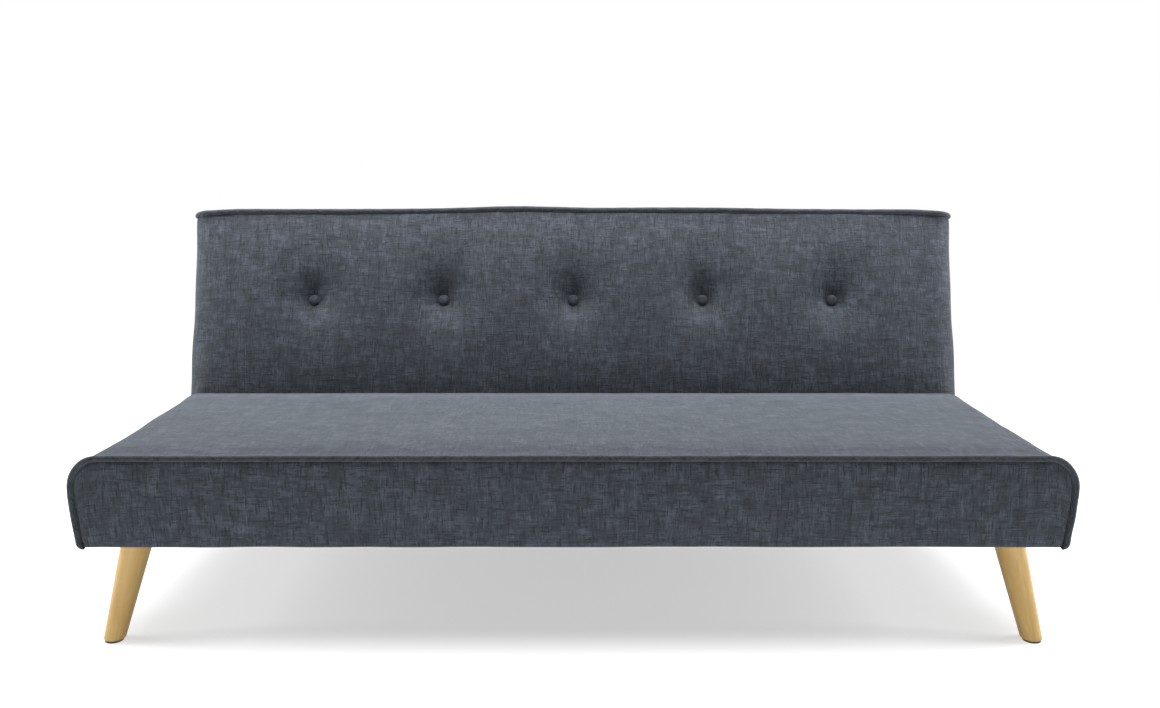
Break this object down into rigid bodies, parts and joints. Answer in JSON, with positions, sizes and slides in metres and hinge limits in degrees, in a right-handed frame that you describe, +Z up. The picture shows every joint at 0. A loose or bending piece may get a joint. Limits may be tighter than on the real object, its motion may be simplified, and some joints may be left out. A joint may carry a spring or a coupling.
{
  "type": "futon sofa bed",
  "caption": "Click-clack futon sofa bed: upholstered seat slab on splayed oak legs and a button-tufted back slab that reclines level with the seat.",
  "frame": {"origin": "on the floor, at the middle of the sofa bed's box seen from above, with the back in its upright rest pose", "axes": "+X to the right of someone who faces the sofa, +Y from the seat's front towards its back, +Z up"},
  "size_m": [1.7858, 0.8047, 0.7785],
  "materials": {
    "linen": "matte",
    "piping": "matte",
    "foam": "matte",
    "felt": "matte",
    "lining": "matte",
    "spring_steel": "satin",
    "black_steel": "satin",
    "zinc": "satin",
    "oak": "satin",
    "glide": "matte",
    "rubber": "matte",
    "cap": "matte",
    "hardboard": "matte",
    "twine": "matte",
    "nylon": "satin",
    "pine": "matte"
  },
  "bodies": {
    "base": {"seat_cover": "linen", "seat_piping": "piping", "seat_foam": "foam", "deck_pad": "felt", "seat_springs": "spring_steel", "spring_clips": "spring_steel", "seat_front_rail": "pine", "seat_rear_rail": "pine", "seat_side_rails": "pine", "seat_runners": "pine", "seat_stretchers": "pine", "corner_blocks": "pine", "dust_cloth": "lining", "base_rails": "black_steel", "rail_end_caps": "cap", "rear_cross_tube": "black_steel", "leg_front_left": "oak", "leg_front_right": "oak", "leg_rear_left": "oak", "leg_rear_right": "oak", "glide_front_left": "glide", "glide_front_right": "glide", "glide_rear_left": "glide", "glide_rear_right": "glide", "leg_plates": "black_steel", "leg_plate_screws": "zinc", "hanger_bolts": "zinc", "runner_bolts": "zinc", "rest_pads": "rubber", "bracket_left": "black_steel", "bracket_right": "black_steel", "pivot_bolts": "zinc", "pivot_nuts": "zinc", "pawl_pins": "zinc", "pawl_clips": "zinc", "pawl_spring_left": "spring_steel", "pawl_spring_right": "spring_steel"},
    "back": {"back_cover": "linen", "back_piping": "piping", "back_foam": "foam", "back_rear_cloth": "lining", "back_panel": "hardboard", "back_top_rail": "pine", "back_bottom_rail": "pine", "back_side_rails": "pine", "back_posts": "pine", "mechanism_rails": "pine", "back_links": "pine", "buttons": "linen", "tufting_cords": "twine", "cord_anchors": "nylon", "hinge_arm_left": "black_steel", "hinge_arm_right": "black_steel", "arm_bolts": "zinc", "arm_nuts": "zinc", "pivot_bushes": "nylon"},
    "pawl_left": {"pawl_left": "zinc"},
    "pawl_right": {"pawl_right": "zinc"}
  },
  "joints": [
    {"name": "back_hinge", "type": "hinge", "parent": "base", "child": "back", "pos_m": [0, 0.17854, 0.33362], "axis": [-1, 0, 0], "range_deg": [-12, 73]},
    {"name": "pawl_left_swing", "type": "hinge", "parent": "base", "child": "pawl_left", "pos_m": [-0.7815, 0.21551, 0.29563], "axis": [1, 0, 0], "range_deg": [-8, 0], "deforming": ["pawl_spring_left"]},
    {"name": "pawl_right_swing", "type": "hinge", "parent": "base", "child": "pawl_right", "pos_m": [0.7815, 0.21551, 0.29563], "axis": [1, 0, 0], "range_deg": [-8, 0], "deforming": ["pawl_spring_right"]}
  ]
}
